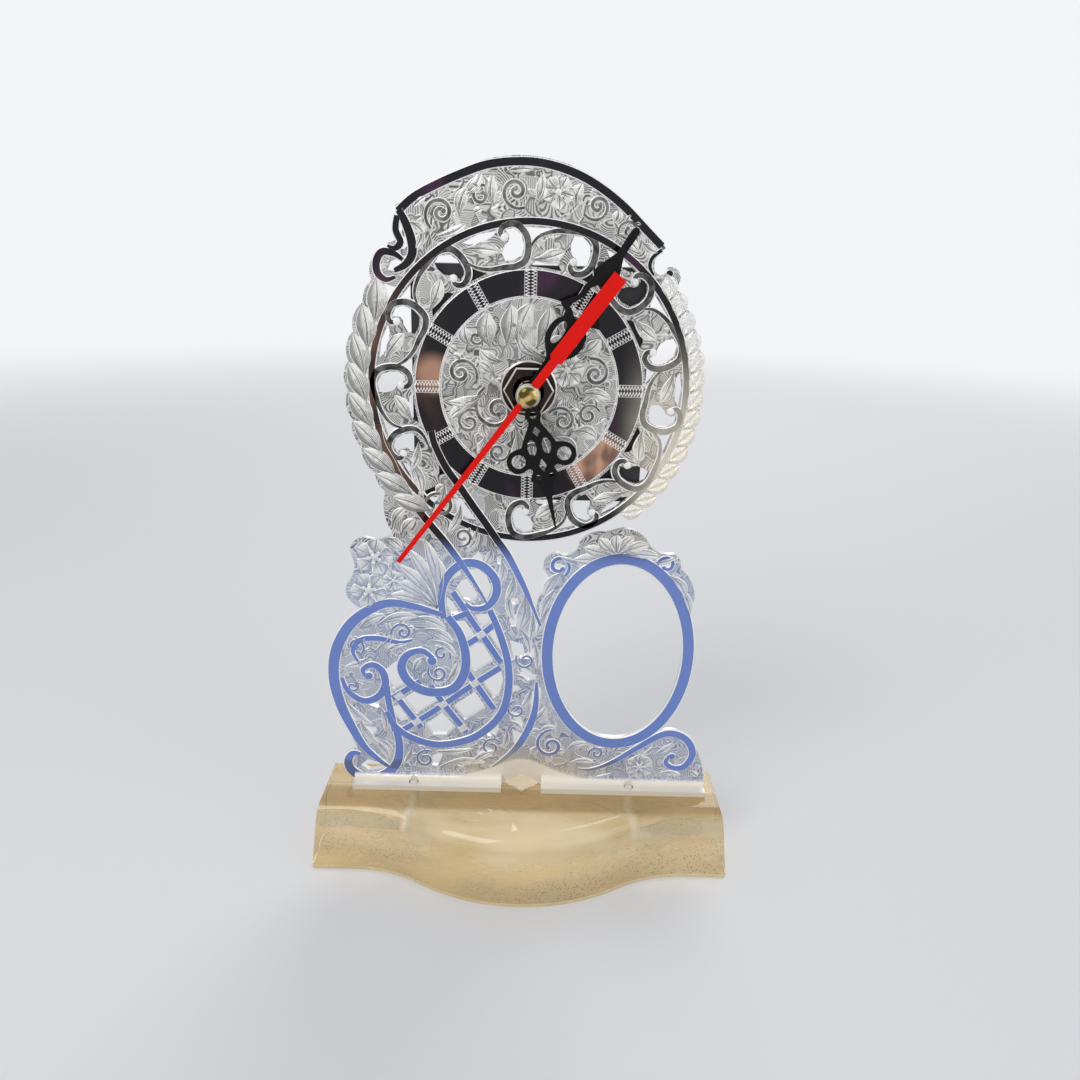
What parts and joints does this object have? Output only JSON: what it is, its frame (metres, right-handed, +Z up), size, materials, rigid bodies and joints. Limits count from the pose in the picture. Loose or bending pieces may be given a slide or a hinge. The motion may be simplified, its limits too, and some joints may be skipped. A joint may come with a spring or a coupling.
{
  "type": "photo frame clock",
  "caption": "Table clock with an oval picture frame: a pierced, engraved silver sheet on a clear block, with a quartz movement behind its dial.",
  "frame": {"origin": "on the underside of the base pad, straight below the front face of the engraved sheet, on the dial's centre line", "axes": "+X right as seen from the front, +Y to the back, +Z up"},
  "size_m": [0.112, 0.048, 0.1799],
  "materials": {
    "engraved_silver": "polished bands between bright-cut, frosted engraving",
    "clear_acrylic": "clear polished acrylic",
    "tan_pad": "tan foam pad",
    "zinc_steel": "zinc plated",
    "brass_plated": "turned brass",
    "black_rubber": "matt rubber",
    "black_lacquer": "black lacquer on stamped metal",
    "red_lacquer": "red lacquer on stamped metal",
    "polished_brass": "polished, lightly worn",
    "white_plastic": "moulded acetal",
    "black_plastic": "fine moulded texture",
    "rotor_magnet": "sintered magnet on a moulded pinion",
    "core_steel": "stamped soft iron",
    "copper_winding": "lacquered copper wire",
    "green_board": "solder-masked board",
    "battery_jacket": "plain printed jacket"
  },
  "bodies": {
    "root": {"engraved_plate": "engraved_silver", "acrylic_base": "clear_acrylic", "base_pad": "tan_pad", "base_screws": "zinc_steel", "front_washer": "brass_plated", "hex_nut": "brass_plated", "threaded_bush": "brass_plated", "rubber_washer": "black_rubber", "movement_case": "black_plastic", "movement_cover": "black_plastic", "movement_bridge": "white_plastic", "stator": "core_steel", "coil": "copper_winding", "circuit_board": "green_board", "quartz_crystal": "zinc_steel", "contact_positive": "zinc_steel", "contact_negative": "zinc_steel"},
    "hour_motion": {"hour_hand": "black_lacquer", "hour_wheel": "white_plastic"},
    "minute_motion": {"minute_hand": "black_lacquer", "minute_pipe": "brass_plated"},
    "minute_gear": {"minute_wheel": "white_plastic"},
    "setting_motion": {"set_knob": "black_plastic"},
    "center_gear": {"center_wheel": "white_plastic"},
    "third_gear": {"third_wheel": "white_plastic"},
    "second_motion": {"second_hand": "red_lacquer", "second_hand_cap": "polished_brass", "second_wheel": "white_plastic"},
    "fifth_gear": {"fifth_wheel": "white_plastic"},
    "rotor_motion": {"rotor": "rotor_magnet"},
    "battery_cell": {"battery": "battery_jacket"}
  },
  "joints": [
    {"name": "minute_spin", "type": "hinge", "parent": "root", "child": "minute_motion", "pos_m": [0, 0.008, 0.129], "axis": [0, 1, 0], "continuous": true},
    {"name": "hour_spin", "type": "hinge", "parent": "root", "child": "hour_motion", "pos_m": [0, 0.008, 0.129], "axis": [0, 1, 0], "continuous": true},
    {"name": "minute_wheel_spin", "type": "hinge", "parent": "root", "child": "minute_gear", "pos_m": [-0.00727, 0.008, 0.1332], "axis": [0, 1, 0], "continuous": true},
    {"name": "set_knob_spin", "type": "hinge", "parent": "root", "child": "setting_motion", "pos_m": [-0.01742, 0.008, 0.13592], "axis": [0, 1, 0], "continuous": true},
    {"name": "second_spin", "type": "hinge", "parent": "root", "child": "second_motion", "pos_m": [0, 0.008, 0.129], "axis": [0, 1, 0], "continuous": true},
    {"name": "third_spin", "type": "hinge", "parent": "root", "child": "third_gear", "pos_m": [0.00751, 0.008, 0.13334], "axis": [0, 1, 0], "continuous": true},
    {"name": "center_wheel_spin", "type": "hinge", "parent": "root", "child": "center_gear", "pos_m": [0, 0.008, 0.129], "axis": [0, 1, 0], "continuous": true},
    {"name": "fifth_spin", "type": "hinge", "parent": "root", "child": "fifth_gear", "pos_m": [-0.0015, 0.008, 0.13751], "axis": [0, 1, 0], "continuous": true},
    {"name": "rotor_spin", "type": "hinge", "parent": "root", "child": "rotor_motion", "pos_m": [0.00186, 0.008, 0.14333], "axis": [0, 1, 0], "continuous": true},
    {"name": "battery_slide", "type": "slide", "parent": "root", "child": "battery_cell", "axis": [0, 1, 0], "range_m": [0, 0.018]}
  ],
  "couplings": [
    {"joint": "hour_spin", "follows": "minute_spin", "ratio": 0.083333},
    {"joint": "minute_wheel_spin", "follows": "minute_spin", "ratio": -0.33333},
    {"joint": "set_knob_spin", "follows": "minute_spin", "ratio": 0.5},
    {"joint": "third_spin", "follows": "second_spin", "ratio": -0.13333},
    {"joint": "center_wheel_spin", "follows": "second_spin", "ratio": 0.016667},
    {"joint": "fifth_spin", "follows": "second_spin", "ratio": -5},
    {"joint": "rotor_spin", "follows": "second_spin", "ratio": 30}
  ]
}
